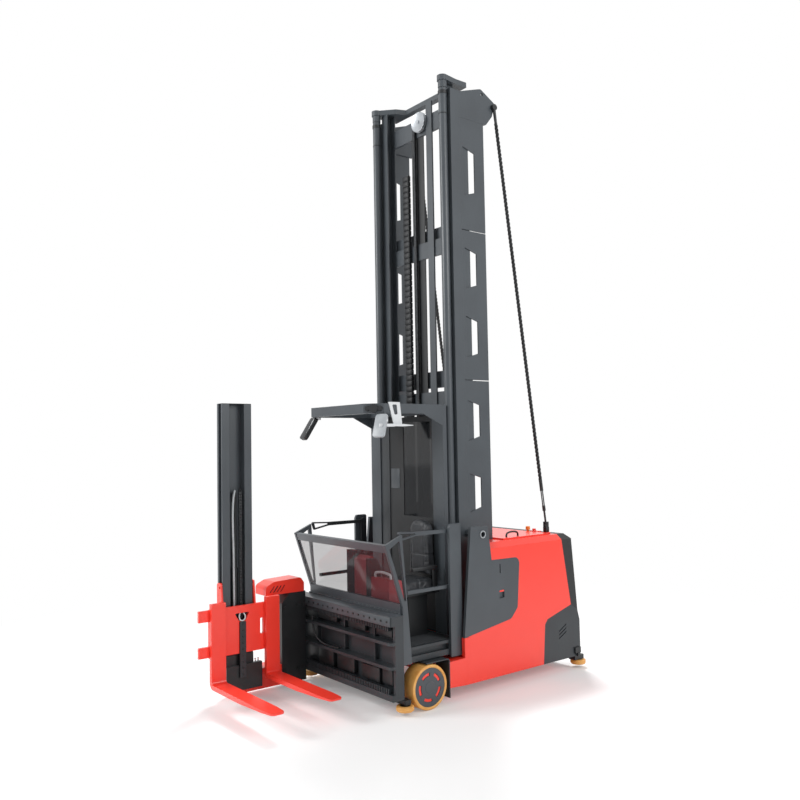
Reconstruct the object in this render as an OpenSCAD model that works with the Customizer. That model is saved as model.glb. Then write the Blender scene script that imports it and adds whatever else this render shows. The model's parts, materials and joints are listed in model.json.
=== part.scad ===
// Man-up turret truck, with its cab lowered and its turret head parked at the right.
// The forks' end of the truck is -Y, its left side is +X, and Z is up from the floor.
// Y is measured from the load axle, and the whole model is centred over the origin at the end.

/* [Chassis] */
// Width over the side plates
body_w = 1550; // [1500:10:1650]
// Height of the battery hood above the floor
body_h = 1333; // [1300:1:1380]
// Gap between the floor and the underside
ground_gap = 130; // [110:1:140]
// Front face of the body, behind the load axle
foot_y = 403; // [395:1:420]
// Height of the body under the mast
foot_h = 534; // [500:1:560]
// Front face of the battery hood
hood_y = 740; // [725:1:760]
// Rear end of the body at the floor
rear_y = 1947; // [1930:1:1960]
// Distance that the rear panel leans forwards at the top
rear_lean = 72; // [60:1:90]
// Chamfer along the edges of the hood
hood_chamfer = 50; // [30:1:60]
// Depth of the black rear panel at the hood's top
strip_t = 147; // [130:1:155]
// Depth of the black rear panel at its foot
strip_low = 90; // [85:1:100]
// Height where the body's rear edge meets the lower cover
strip_z = 640; // [600:1:680]
// Thickness of the side panels and the lower covers
panel_t = 30; // [20:1:40]
// Width of each leg beside a load wheel
leg_w = 175; // [170:1:190]
// Height of each leg
leg_h = 361; // [350:1:370]
// Front end of each leg
leg_y = 224; // [222:1:235]
// Thickness of the inner arm that carries a load wheel
arm_t = 55; // [45:1:65]

/* [Battery] */
// Width of the battery
battery_w = 1100; // [900:10:1150]
// Length of the battery
battery_l = 400; // [350:5:420]
// Height of the battery
battery_h = 780; // [600:10:850]

/* [Wheels] */
// Diameter of a load wheel
wheel_d = 380; // [370:1:382]
// Width of a load wheel
wheel_w = 165; // [150:1:170]
// Diameter of the wheel disc inside its tyre
disc_d = 324; // [300:1:330]
// Diameter of the load axle
axle_d = 60; // [50:1:70]
// Running clearance of a shaft in its hole
run_gap = 0.1; // [0.05:0.01:0.1]
// Thickness of a fender plate
fender_t = 10; // [8:1:10]
// Distance of the drive wheel behind the load axle
wheelbase = 1500; // [1480:5:1520]
// Diameter of the drive wheel
drive_d = 400; // [380:1:410]
// Width of the drive wheel
drive_w = 150; // [130:1:160]

/* [Guide rollers] */
// Diameter of a guide roller
roller_d = 150; // [140:1:156]
// Thickness of a guide roller
roller_t = 46; // [40:1:50]
// Height of a guide roller's middle
roller_z = 60; // [55:1:65]
// Distance that a guide roller stands out past the side
roller_out = 30; // [20:1:40]
// Place of the front guide rollers
front_roller_y = -241; // [-245:1:-240]
// Place of the rear guide rollers
rear_roller_y = 1960; // [1945:1:1970]

/* [Mast] */
// Height of the mast's head
mast_top = 5700; // [5400:10:5900]
// Thickness of the yoke on the head
yoke_t = 50; // [40:1:60]
// Width of an outer rail
outer_w = 75; // [70:1:78]
// Depth of an outer rail
outer_d = 115; // [110:1:120]
// Width of an inner rail
inner_w = 85; // [80:1:90]
// Depth of an inner rail
inner_d = 109; // [104:1:112]
// Thickness of a rail's wall
rail_t = 13; // [10:1:15]
// Running gap between sliding rails
rail_gap = 10; // [8:1:12]
// Width over the outer rails
mast_w = 1150; // [1130:2:1160]
// Front face of the rails
rail_y = 545; // [545:1:552]
// Distance of a lift cylinder from the middle
cyl_x = 518; // [510:1:522]
// Place of the lift cylinders
cyl_y = 500; // [498:1:502]
// Diameter of a lift cylinder
cyl_d = 79; // [70:1:80]
// Diameter of a lift cylinder's rod
rod_d = 58; // [50:1:60]
// Thickness of a mast side plate
plate_t = 12; // [10:1:15]
// Rear edge of the mast side plates
plate_y = 967; // [940:1:990]

/* [Cab] */
// Height of the cab's underside
cab_z = 402; // [400:1:410]
// Distance of the cab's side frames inside the body's sides
cab_in = 50; // [45:1:60]
// Thickness of a side frame
frame_t = 25; // [20:1:28]
// Height of the floor
floor_z = 530; // [510:1:540]
// Width over the rear posts
post_out = 1098; // [1080:2:1110]
// Width of a rear post
post_w = 150; // [140:1:155]
// Depth of a rear post
post_d = 47; // [44:1:48]
// Front face of the rear posts
post_y = 392; // [388:1:392]
// Height of the overhead guard
guard_z = 2596; // [2500:1:2700]
// Depth of the overhead guard's beams
guard_h = 86; // [80:1:95]
// Front edge of the overhead guard
guard_y = -400; // [-420:5:-360]

/* [Traverse frame] */
// Distance of the traverse frame's ends inside the body's sides
trav_in = 10; // [5:1:20]
// Front face of the traverse frame
trav_y = -410; // [-412:1:-408]
// Rear face of the traverse frame
trav_back = -272; // [-276:1:-271]
// Top of the traverse frame
trav_top = 825; // [815:1:830]
// Bottom of the traverse frame
trav_low = 140; // [138:1:150]
// Pitch of the rack teeth
rack_pitch = 24; // [20:1:30]

/* [Turret] */
// Place of the turret's pivot across the truck
pivot_x = -640; // [-645:1:-630]
// Place of the turret's pivot in front of the load axle
pivot_y = -1092; // [-1100:1:-1090]
// Height of the auxiliary mast's top
aux_top = 2630; // [2500:10:2750]
// Width of the auxiliary mast
aux_w = 290; // [280:2:300]
// Depth of the auxiliary mast
aux_d = 100; // [90:1:105]
// Front face of the fork carriage, from the pivot
plate_x = 142; // [140:1:146]
// Thickness of the fork carriage
carriage_t = 28; // [24:1:28]
// Height of the fork carriage's top
carriage_top = 840; // [800:1:850]
// Height of the forks' underside
fork_z = 172; // [160:1:180]
// Length of a fork blade
fork_l = 1070; // [1000:10:1100]
// Thickness of a fork
fork_t = 40; // [36:1:42]
// Width of a fork
fork_w = 136; // [130:1:152]
// Distance of the front fork's middle from the pivot
fork_a = -245; // [-262:1:-240]
// Distance of the rear fork's middle from the pivot
fork_b = 286; // [270:1:295]
// Length of the lugs at the end of the fork carriage
lug_l = 97; // [70:1:110]

/* [Hidden] */
$fn = 64;

red = "#F4402E";
slate = "#5A6168";
dark = "#2C3034";
black = "#1B1D1F";
tan_tyre = "#E3A857";
steel = "#9AA0A5";
white = "#E8E9EA";

side = body_w / 2;
cab_w = body_w - 2 * cab_in;
trav_w = body_w - 2 * trav_in;
leg_x = side - leg_w;
arm_x = leg_x - arm_t;
wheel_r = wheel_d / 2;
clear = 5;
seat_gap = 0.3;
deep = 1;
front_y = pivot_y + fork_a - fork_w / 2 - lug_l;
back_y = rear_roller_y + roller_d / 2;
middle_y = (front_y + back_y) / 2;

// A box between two corners
module block(low, high) {
    translate(low) cube(high - low);
}

// A Y-Z outline made as thick as the span from x0 to x1
module plate_x(points, x0, x1) {
    translate([x0, 0, 0]) rotate([90, 0, 90]) linear_extrude(x1 - x0) polygon(points);
}

// The same thing at both sides of the truck
module both() {
    children();
    mirror([1, 0, 0]) children();
}

// Moves the finished model so that its middle stands over the origin
module place() {
    translate([0, -middle_y, 0]) children();
}

function unit(v) = v / norm(v);

// Points of a round corner at p between a and b
function corner(a, p, b, r, n) =
    r == 0 ? [p] :
    let (u = unit(a - p), v = unit(b - p), half = acos(u * v) / 2)
    let (c = p + unit(u + v) * r / sin(half))
    let (s = p + u * r / tan(half) - c, e = p + v * r / tan(half) - c)
    let (a0 = atan2(s[1], s[0]), turn = atan2(s[0] * e[1] - s[1] * e[0], s * e))
    [for (i = [0 : n]) c + r * [cos(a0 + turn * i / n), sin(a0 + turn * i / n)]];

// Outline from a table whose columns are x, y and corner radius
function rounded(t, n = 6) = [
    for (i = [0 : len(t) - 1])
        let (k = len(t), a = t[(i + k - 1) % k], p = t[i], b = t[(i + 1) % k])
        each corner([a[0], a[1]], [p[0], p[1]], [b[0], b[1]], p[2], n)
];

// Height of the lower cover's shoulder, its depth, and the height of the slope up to it
step_z = 571;
step_y = 27;
slope_h = 91;

// Y of the leaning rear panel's face at a height, and of its seam with the body
function rear_at(z) = rear_y - step_y - rear_lean * (z - step_z) / (body_h - step_z);
seam_y = rear_at(strip_z) - strip_low;
function seam_at(z) =
    seam_y + (rear_at(body_h) - strip_t - seam_y) * (z - strip_z) / (body_h - strip_z);

hood_back = seam_at(body_h);
bay_r = 270;
bay_top = 600;
battery_y = hood_y + 50;
battery_z = 300;
lid_t = 14;

// Recess in the body's front that the lowered cab stands in
notch_x = cab_w / 2 + 10;
notch_y = post_y + post_d + 11;
notch_z = leg_h - 21;

pin_y = 647;
pin_z = body_h + 85;
pin_r = 35;

panel_outline = rounded([
    [foot_y, foot_h, 0], [foot_y + 584, foot_h + 87, 60], [foot_y + 672, foot_h + 180, 40],
    [hood_y + 375, foot_h + 640, 60], [hood_y + 12, foot_h + 645, 0],
    [hood_y - 27, body_h + 155, 0], [foot_y + 98, body_h + 164, 0]
]);

cover_outline = [
    [1412, ground_gap], [1443, 500], [1480, 545], [seam_y, strip_z],
    [rear_y, strip_z], [rear_y, ground_gap]
];

// Chassis

module chassis_body() {
    place() color(red) difference() {
        union() {
            plate_x([
                [notch_y, ground_gap], [seam_y, ground_gap], [seam_y, strip_z],
                [seam_at(body_h), body_h], [hood_y, body_h], [hood_y, foot_h],
                [notch_y, foot_h]
            ], -side, side);
            // Web under the side panel's lower edge
            both() plate_x([[notch_y, foot_h - deep], [hood_y + deep, foot_h - deep],
                [hood_y + deep, foot_h + 100], [notch_y, foot_h + 60]], side - panel_t, side);
        }
        both() {
            plate_x(panel_outline, side - panel_t, side + deep);
            plate_x(cover_outline, side - panel_t, side + deep);
            translate([side, hood_y - deep, body_h]) rotate([-90, 0, 0])
                linear_extrude(rear_y - hood_y)
                polygon([[deep, -deep], [-hood_chamfer, -deep], [-hood_chamfer, 0],
                    [0, hood_chamfer], [deep, hood_chamfer]]);
        }
        translate([0, wheelbase, ground_gap - deep])
            cylinder(r = bay_r, h = bay_top - ground_gap + deep);
        block([-battery_w / 2 - clear, battery_y - clear, battery_z - clear],
            [battery_w / 2 + clear, battery_y + battery_l + clear, body_h + deep]);
    }
}

// Front sill of the body, its corner posts, and the legs and arms that carry the load axle
module load_legs() {
    sill = notch_y - seat_gap;
    place() color(red) {
        block([-side, foot_y, ground_gap], [side, sill, notch_z]);
        both() {
            difference() {
                block([notch_x, foot_y, notch_z + seat_gap], [side, sill, foot_h]);
                plate_x(panel_outline, side - panel_t, side + deep);
            }
            plate_x([
                [leg_y, ground_gap + 11], [foot_y - seat_gap, ground_gap],
                [foot_y - seat_gap, leg_h + 3], [leg_y, leg_h]
            ], leg_x, side);
            plate_x(rounded([
                [trav_back + 10, 90, 20], [foot_y - seat_gap, 90, 0], [foot_y - seat_gap, 300, 0],
                [120, 300, 0], [-110, 250, 60], [trav_back + 10, 140, 0]
            ]), arm_x, leg_x + deep);
            translate([arm_x, 0, wheel_r]) rotate([0, 90, 0])
                cylinder(d = axle_d, h = side - 30 - arm_x);
        }
    }
}

module battery() {
    place() color(black)
        block([-battery_w / 2, battery_y, battery_z - clear],
            [battery_w / 2, battery_y + battery_l, battery_z + battery_h]);
}

module hood() {
    wide = side - hood_chamfer - 30;
    slim = mast_w / 2 - 2 * plate_t - clear;
    lid_back = hood_back - 86;
    place() color(red) translate([0, 0, body_h]) linear_extrude(lid_t) polygon([
        [-slim, hood_y + 20], [slim, hood_y + 20], [slim, plate_y + 20], [wide, plate_y + 20],
        [wide, lid_back], [-wide, lid_back], [-wide, plate_y + 20],
        [-slim, plate_y + 20]
    ]);
}

module side_panels() {
    latch = [hood_y + 133, foot_h + 326];
    place() color(slate) both() difference() {
        plate_x(panel_outline, side - panel_t, side);
        translate([side - panel_t - deep, pin_y, pin_z]) rotate([0, 90, 0])
            cylinder(r = pin_r + seat_gap, h = panel_t + 2 * deep);
        // Latch recess and the slot above it
        plate_x(rounded([[latch[0] - 32, latch[1] - 38, 8], [latch[0] + 32, latch[1] - 34, 8],
            [latch[0] + 32, latch[1] + 38, 8], [latch[0] - 30, latch[1] + 34, 8]]),
            side - 18, side + deep);
        block([side - 12, latch[0] - 22, latch[1] + 190], [side + deep, latch[0] - 10, latch[1] + 270]);
    }
}

module rear_cover() {
    place() color(dark) {
        both() difference() {
            plate_x(concat([for (i = [0 : 3]) cover_outline[i]],
                [[seam_y + deep, strip_z - 2 * deep], [seam_y + deep, ground_gap]]),
                side - panel_t, side);
            for (i = [0 : 2])
                plate_x([[1640, 330 + 34 * i], [1745, 385 + 34 * i], [1745, 397 + 34 * i],
                    [1640, 342 + 34 * i]], side - 14, side + deep);
        }
        plate_x([
            [seam_y, ground_gap], [rear_y, ground_gap], [rear_y, step_z - slope_h],
            [rear_at(step_z), step_z], [seam_y, strip_z]
        ], -side, side);
    }
}

module rear_strip() {
    place() color(black) difference() {
        plate_x([
            [seam_y, strip_z], [rear_at(step_z), step_z],
            [rear_at(body_h - hood_chamfer), body_h - hood_chamfer],
            [rear_at(body_h) - hood_chamfer, body_h], [seam_at(body_h), body_h]
        ], -side, side);
        both() translate([side, hood_y, body_h]) rotate([-90, 0, 0])
            linear_extrude(rear_y - hood_y)
            polygon([[deep, -deep], [-hood_chamfer, -deep], [-hood_chamfer, 0],
                [0, hood_chamfer], [deep, hood_chamfer]]);
    }
}

module fenders() {
    over = wheel_d + 6;
    back = leg_y - fender_t;
    place() color(slate) both() plate_x(rounded([
        [-40, over, 0], [back, over, 20], [back, 60, 0], [back + fender_t, 60, 0],
        [back + fender_t, over + fender_t, 30], [-40, over + fender_t, 0]
    ]), leg_x + deep + seat_gap, side);
}

module roller_brackets() {
    x = side + roller_out - roller_d / 2;
    top = roller_z + roller_t / 2;
    foot = top - roller_t - 8;
    place() color(dark) both() {
        block([leg_x + deep + seat_gap, trav_back + 10, top + clear], [x + 35, -wheel_r - 15, ground_gap]);
        block([x - 40, rear_roller_y - 90, top + clear], [x + 40, rear_roller_y + 40, ground_gap]);
        for (y = [front_roller_y, rear_roller_y]) translate([x, y, foot]) {
            cylinder(r = 10, h = roller_t + 40);
            cylinder(r = 18, h = 6);
        }
        // Clamp on the rear corner
        block([side, rear_y - 90, 160], [side + 16, rear_y - 10, 215]);
        block([side, rear_y - 60, 130], [side + 22, rear_y - 30, 160 + deep]);
    }
}

// Mast

outer_x = mast_w / 2 - outer_w;
inner_x = outer_x - rail_gap - inner_w;
outer_top = mast_top - yoke_t - 70;
mast_low = foot_h;
plate_front = rail_y + outer_d;

// A C-shaped rail that opens towards the middle of the truck
module rail(x, y, w, d, z0, z1) {
    translate([x, y, z0]) linear_extrude(z1 - z0) difference() {
        square([w, d]);
        translate([-deep, rail_t]) square([w - rail_t + deep, d - 2 * rail_t]);
    }
}

module outer_rail_left() {
    place() color(slate) rail(outer_x, rail_y, outer_w, outer_d, mast_low, outer_top);
}

module outer_rail_right() {
    place() color(slate) mirror([1, 0, 0])
        rail(outer_x, rail_y, outer_w, outer_d, mast_low, outer_top);
}

beam_d = 30;
rib_w = 25;
head_z = mast_top - 376;

module mast_cross_beams() {
    short = plate_t + rib_w + seat_gap;
    // Columns: underside and height of each beam, and the distance that it stops short of the sides
    table = [[700, 300, plate_t], [1500, 160, short], [2780, 160, short], [4180, 160, short],
        [head_z + 16, 120, 2 * plate_t]];
    y = plate_front + 4;
    place() color(slate) {
        for (b = table)
            block([-mast_w / 2 + b[2], y, b[0]], [mast_w / 2 - b[2], y + beam_d, b[0] + b[1]]);
        both() translate([mast_w / 2, pin_y, pin_z]) rotate([0, 90, 0]) difference() {
            cylinder(r = pin_r, h = side + 6 - mast_w / 2);
            translate([0, 0, -deep]) cylinder(r = pin_r - 11, h = side);
        }
    }
}

module mast_side_plates() {
    // Columns: bottom and top of each cut-out beside the rail
    cuts = [[1600, 1960], [2260, 2640], [3040, 3430], [3690, 4080], [4580, 5050]];
    // Columns: bottom and top of each plate
    plates = [[foot_h, 2824], [2832, 4244], [4252, head_z]];
    edge = plate_front;
    place() color(slate) both() {
        difference() {
            for (p = plates)
                block([mast_w / 2 - plate_t, edge, p[0]], [mast_w / 2, plate_y, p[1]]);
            block([0, hood_y, 0], [side, plate_y + deep, body_h]);
            for (c = cuts)
                plate_x([[edge + 30, c[0]], [edge + 180, c[0] + 45], [edge + 180, c[1] - 45],
                    [edge + 30, c[1]]], mast_w / 2 - plate_t - deep, mast_w / 2 + deep);
        }
        difference() {
            plate_x(rounded([[edge, head_z + deep, 0], [edge + 346, head_z + deep, 20],
                [edge + 432, head_z + 106, 15], [edge + 470, head_z + 244, 15],
                [edge + 285, head_z + 344, 25], [edge + 240, head_z + 331, 15],
                [edge, head_z + 251, 0]]), mast_w / 2 - 2 * plate_t, mast_w / 2);
            translate([0, edge + 300, head_z + 296]) rotate([0, 90, 0]) cylinder(r = 16, h = mast_w);
        }
        // Rib along the rail, inside the plates
        block([mast_w / 2 - plate_t - rib_w, edge, 1500], [mast_w / 2 - plate_t + deep, edge + 108, head_z]);
    }
}

stay_top = [mast_w / 2 + 16, plate_front + 445, head_z + 196];
stay_low = [615, 1668, body_h + 60];

module mast_stays() {
    v = stay_low - stay_top;
    place() color(black) both() {
        translate(stay_top) rotate([0, acos(v[2] / norm(v)), atan2(v[1], v[0])])
            cylinder(r = 14, h = norm(v));
        translate([stay_low[0] - 25, stay_low[1] - 30, body_h]) cube([50, 60, 80]);
        translate([mast_w / 2, stay_top[1], stay_top[2]]) rotate([0, 90, 0])
            cylinder(r = 30, h = 2 * (stay_top[0] - mast_w / 2));
    }
}

module lift_cylinders() {
    place() color(dark) both() translate([cyl_x, cyl_y, foot_h]) difference() {
        union() {
            cylinder(d = cyl_d, h = outer_top - foot_h);
            translate([0, 0, outer_top - foot_h - 60]) cylinder(d = cyl_d + 6, h = 30);
        }
        translate([0, 0, 60]) cylinder(d = rod_d + 2 * seat_gap, h = mast_top);
    }
}

// Wheels

module at_wheel() {
    translate([side, 0, wheel_r]) rotate([0, -90, 0]) children();
}

module wheel_tyre() {
    at_wheel() difference() {
        cylinder(d = wheel_d, h = wheel_w);
        translate([0, 0, -deep]) cylinder(d = disc_d, h = wheel_w + 2 * deep);
    }
}

module wheel_disc() {
    at_wheel() difference() {
        translate([0, 0, 6]) cylinder(d = disc_d, h = wheel_w - 12);
        translate([0, 0, 25]) cylinder(d = axle_d + 2 * run_gap, h = wheel_w);
        for (i = [0 : 4]) rotate(72 * i + 25) translate([0, 0, -deep])
            rotate_extrude(angle = 46) translate([95, 0]) square([27, 15]);
    }
}

module tyre_left() { place() color(tan_tyre) wheel_tyre(); }
module hub_left() { place() color(slate) wheel_disc(); }
module tyre_right() { place() color(tan_tyre) mirror([1, 0, 0]) wheel_tyre(); }
module hub_right() { place() color(slate) mirror([1, 0, 0]) wheel_disc(); }

module roller(x, y) {
    place() color(tan_tyre) translate([x, y, roller_z - roller_t / 2]) difference() {
        cylinder(d = roller_d, h = roller_t);
        translate([0, 0, -deep]) cylinder(r = 10 + run_gap, h = roller_t + 2 * deep);
    }
}

roller_x = side + roller_out - roller_d / 2;
module guide_roller_front_left() { roller(roller_x, front_roller_y); }
module guide_roller_front_right() { roller(-roller_x, front_roller_y); }
module guide_roller_rear_left() { roller(roller_x, rear_roller_y); }
module guide_roller_rear_right() { roller(-roller_x, rear_roller_y); }

module drive_turntable() {
    fork_x = drive_w / 2 + 10;
    place() color(steel) translate([0, wheelbase, 0]) {
        translate([0, 0, bay_top - 40 - seat_gap]) cylinder(r = 200, h = 40);
        both() block([fork_x, -70, drive_d / 2 - 70], [fork_x + 25, 70, bay_top - 41]);
        translate([-fork_x - 1, 0, drive_d / 2]) rotate([0, 90, 0]) cylinder(r = 25, h = 2 * fork_x + 2);
        translate([0, 0, drive_d + 15]) cylinder(r = 60, h = bay_top - 41 - drive_d - 15);
    }
}

module drive_wheel() {
    place() color(tan_tyre) translate([-drive_w / 2, wheelbase, drive_d / 2]) rotate([0, 90, 0])
        difference() {
            cylinder(d = drive_d, h = drive_w);
            translate([0, 0, -deep]) cylinder(r = 25 + run_gap, h = drive_w + 2 * deep);
        }
}

// Inner mast

inner_top = mast_top - yoke_t;
inner_low = foot_h + 20;

// One inner rail, with the roller that runs in the outer rail
module inner_rail() {
    rail(inner_x, rail_y + 3, inner_w, inner_d, inner_low, inner_top);
    translate([inner_x + inner_w - deep, rail_y + outer_d / 2, inner_low + 80]) rotate([0, 90, 0]) {
        cylinder(r = 20, h = rail_gap + 4);
        translate([0, 0, rail_gap + 3])
            cylinder(d = outer_d - 2 * rail_t - 2 * seat_gap, h = outer_w - rail_t - 15);
    }
}

module inner_rail_left() {
    place() color(steel) inner_rail();
}

module inner_rail_right() {
    place() color(steel) mirror([1, 0, 0]) inner_rail();
}

module inner_cross_beams() {
    // Columns: underside and height of each beam between the inner rails
    table = [[580, 120], [2600, 140], [4060, 160], [head_z - 24, 180]];
    y1 = rail_y + 3 + inner_d;
    place() color(slate) {
        for (b = table) block([-inner_x, y1 - 25, b[0]], [inner_x, y1, b[0] + b[1]]);
        // Chain pulley, and the flat bar that the cables run behind
        translate([45, y1 - 25, head_z + 106]) rotate([90, 0, 0]) cylinder(r = 95, h = 22);
        block([132, y1 - 40, 580], [217, y1 - 25, head_z + 276]);
    }
}

// Trays between the inner mast's beams, behind the chains and hoses
module hose_tray() {
    back = rail_y + 3 + inner_d - 7;
    // Columns: bottom and top of each tray
    table = [[700, 2600], [2740, 4060], [4220, head_z - 24]];
    place() color(black) for (t = table)
        block([-120, back - 10, t[0] + seat_gap], [60, back, t[1] - seat_gap]);
}

module mast_yoke() {
    r = 50;
    front = plate_front + 58;
    back = front + 66;
    inside = mast_w / 2 - 2 * plate_t - clear;
    place() color(dark) both() translate([cyl_x, cyl_y, outer_top + clear]) difference() {
        cylinder(d = cyl_d + 4, h = inner_top - outer_top - clear);
        translate([0, 0, -deep]) cylinder(d = rod_d + 2 * seat_gap, h = yoke_t + 100);
    }
    place() color(dark) translate([0, 0, inner_top]) linear_extrude(yoke_t) both() {
        translate([cyl_x, cyl_y]) circle(r = r);
        polygon([[-deep, front], [300, front], [inner_x - 65, plate_front - 40],
            [cyl_x - r, cyl_y], [cyl_x + r, cyl_y], [inside, plate_front - 10], [inside, back],
            [-deep, back]]);
    }
}

module lift_rods() {
    place() color(steel) both() translate([cyl_x, cyl_y, foot_h + 70])
        cylinder(d = rod_d, h = inner_top - foot_h - 70);
}

// Cab

post_x = post_out / 2 - post_w;
cab_x = cab_w / 2;
floor_x = cab_x - frame_t;

module cab_posts() {
    place() color(slate) both()
        block([post_x, post_y, cab_z], [post_x + post_w, post_y + post_d, guard_z]);
}

module cab_carriage() {
    x = inner_x - 25;
    y = rail_y + 3 + inner_d / 2;
    back = post_y + post_d;
    place() color(slate) {
        both() {
            plate_x(rounded([[back, 620, 0], [y + 18, 620, 20], [y + 18, 820, 40], [back + 70, 960, 40],
                [back + 70, 1220, 40], [y + 18, 1360, 40], [y + 18, 1560, 20], [back, 1560, 0]]),
                x - 25, x);
            for (z = [720, 1460]) translate([x - deep, y, z]) rotate([0, 90, 0]) {
                cylinder(r = 15, h = 40);
                translate([0, 0, 31]) cylinder(d = inner_d - 2 * rail_t - 2 * seat_gap, h = 50);
            }
        }
        for (z = [640, 1440]) block([-post_x - 30, back, z], [post_x + 30, back + 30, z + 100]);
    }
}

module cab_floor() {
    place() color(dark) difference() {
        block([-floor_x, trav_back, cab_z], [floor_x, post_y, floor_z]);
        both() block([floor_x - 40, -150, cab_z + 50], [floor_x + deep, 285, cab_z + 100]);
    }
}

guard_cut = 130;

module overhead_guard() {
    out = post_out / 2;
    wall = 60;
    place() color(slate) {
        translate([0, 0, guard_z - guard_h]) linear_extrude(guard_h) difference() {
            polygon([[-out, post_y], [-out, guard_y + guard_cut], [guard_cut - out, guard_y],
                [out - guard_cut, guard_y], [out, guard_y + guard_cut], [out, post_y]]);
            polygon([[wall - out, post_y - wall], [wall - out, guard_y + guard_cut + wall / 3],
                [guard_cut - out + wall / 3, guard_y + wall],
                [out - guard_cut - wall / 3, guard_y + wall],
                [out - wall, guard_y + guard_cut + wall / 3], [out - wall, post_y - wall]]);
        }
        for (x = [-2 : 2]) block([x * 165 - 20, guard_y + wall - 1, guard_z - 30],
            [x * 165 + 20, post_y - wall + 1, guard_z - 10]);
        both() plate_x([[post_y, guard_z - guard_h + deep], [post_y, guard_z - 192],
            [post_y - 223, guard_z - guard_h], [post_y - 223, guard_z - guard_h + deep]],
            out - 12, out);
    }
}

module rear_wall() {
    split = -50;
    sill = 1560;
    place() color(black) {
        block([-post_x, post_y + 15, floor_z], [split, post_y + 35, guard_z - guard_h - 10]);
        block([split - deep, post_y + 15, floor_z], [post_x, post_y + 35, sill]);
        block([split - deep, post_y + 15, guard_z - guard_h - 60],
            [post_x, post_y + 35, guard_z - guard_h - 10]);
        block([post_x - 30, post_y + 15, sill - deep], [post_x, post_y + 35, guard_z - guard_h - 59]);
    }
}

module rear_window() {
    place() color([0.1, 0.1, 0.12, 0.5])
        block([-50, post_y + 20, 1560], [post_x - 30, post_y + 28, guard_z - guard_h - 60]);
}

glass_low = [-252, 905];
glass_top = [-388, 1340];

module windscreen_frame() {
    front = -255;
    place() color(slate) {
        both() difference() {
            plate_x([[-419, 1406], [-242, 880], [-242, cab_z], [-155, cab_z], [-155, 444],
                [-239, 1481]], floor_x, cab_x);
            plate_x(rounded([[-375, 1370, 8], [-222, 925, 8], [-205, 930, 8], [-268, 1435, 8]]),
                floor_x - deep, cab_x + deep);
        }
        plate_x([[-412, 1404], [-392, glass_top[1]], [-368, glass_top[1]], [-386, 1412]],
            -floor_x - deep, floor_x + deep);
        block([-floor_x - deep, front, 835], [floor_x + deep, front + 30, glass_low[1]]);
        block([-floor_x - deep, trav_back, floor_z], [floor_x + deep, front + 25, 835 + deep]);
    }
}

module windscreen() {
    place() color([0.2, 0.2, 0.25, 0.4])
        plate_x([glass_low, glass_low + [6, 0], glass_top + [6, 0], glass_top], -floor_x, floor_x);
}

module side_posts() {
    place() color(slate) both()
        plate_x(rounded([[289, cab_z - 20, 0], [425, cab_z - 20, 0], [425, 1533, 20], [305, 1533, 20],
            [289, 1500, 8]]), floor_x, cab_x);
}

console_y = -215;
pod_z = 850;

// Instrument body, the column between the pods, and the pedestal under them
module console() {
    place() color(dark) {
        plate_x(rounded([[console_y, floor_z, 0], [-120, floor_z, 0], [-105, 1200, 30],
            [-150, 1285, 15], [console_y, 1285, 0]]), -131, -10 - seat_gap);
        plate_x(rounded([[console_y, pod_z - deep, 0], [-120, pod_z - deep, 0], [-105, 1150, 30],
            [-150, 1230, 15], [console_y, 1230, 0]]), 170 + seat_gap, 245 - seat_gap);
        block([-10 - seat_gap - deep, console_y, floor_z], [500, -120, pod_z - seat_gap]);
    }
}

// A tall pod at the left hand, and a low one at the right
module console_pods() {
    place() color(red) {
        plate_x(rounded([[console_y, pod_z, 0], [-90, pod_z, 20], [-55, 920, 20], [-90, 1190, 30],
            [-150, 1250, 20], [console_y, 1215, 0]]), -10, 170);
        plate_x(rounded([[console_y, pod_z, 0], [-90, pod_z, 15], [-50, 890, 15], [-75, 1060, 15],
            [console_y, 1080, 0]]), 245, 500);
    }
}

seat_x = 310;
seat_z = 920;
seat_back_y = 370;

module seat_base() {
    place() color(black) {
        block([seat_x - 110, 60, floor_z], [seat_x + 110, 280, seat_z - 20]);
        block([seat_x - 160, 0, seat_z - 20 - deep], [seat_x + 160, seat_back_y + 12, seat_z - seat_gap]);
        block([seat_x - 60, seat_back_y + seat_gap, seat_z - 20], [seat_x + 60, seat_back_y + 12, 1320]);
    }
}

module seat_cushion() {
    place() color(black) block([seat_x - 180, -20, seat_z], [seat_x + 180, 330, seat_z + 110]);
}

module seat_back() {
    place() color(black)
        block([seat_x - 160, seat_back_y - 100, seat_z + 120], [seat_x + 160, seat_back_y, 1560]);
}

module guard_lamp() {
    place() color(black)
        translate([(post_out - guard_cut) / 2, guard_y + guard_cut / 2, guard_z - guard_h / 2])
        rotate([90, 0, 45]) translate([0, 0, seat_gap]) cylinder(r = 38, h = 30);
}

// A mirror that leans back from the upright
module mirror_plate(lean) {
    rotate([90 - lean, 0, 25]) translate([0, 0, -9]) linear_extrude(18)
        polygon(rounded([[-55, -105, 25], [45, -105, 25], [60, 60, 30], [30, 105, 20],
            [-45, 105, 30]]));
}

module mirrors() {
    x = post_out / 2 + seat_gap;
    low = guard_z - guard_h;
    place() color(white) {
        difference() {
            plate_x([[-230, guard_z + 12], [-105, guard_z + 12], [-80, 2400], [-170, 2400]], x, x + 8);
            plate_x(rounded([[-190, guard_z - 10, 10], [-140, guard_z - 10, 10],
                [-130, 2500, 10], [-165, 2500, 10]]), x - deep, x + 9);
        }
        plate_x([[-320, 2400], [-80, 2396], [25, 2402], [25, 2408], [-80, 2416], [-320, 2416]],
            x, x + 30);
        translate([x + 20, -330, 2402]) mirror_plate(22);
        // Holder under the guard's right side, and the mirror on it
        block([-x - 10, -300, low - 22], [-x + 40, -235, low - seat_gap]);
        translate([-x - 8, -342, low - 105]) mirror([1, 0, 0]) mirror_plate(30);
    }
}

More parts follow.
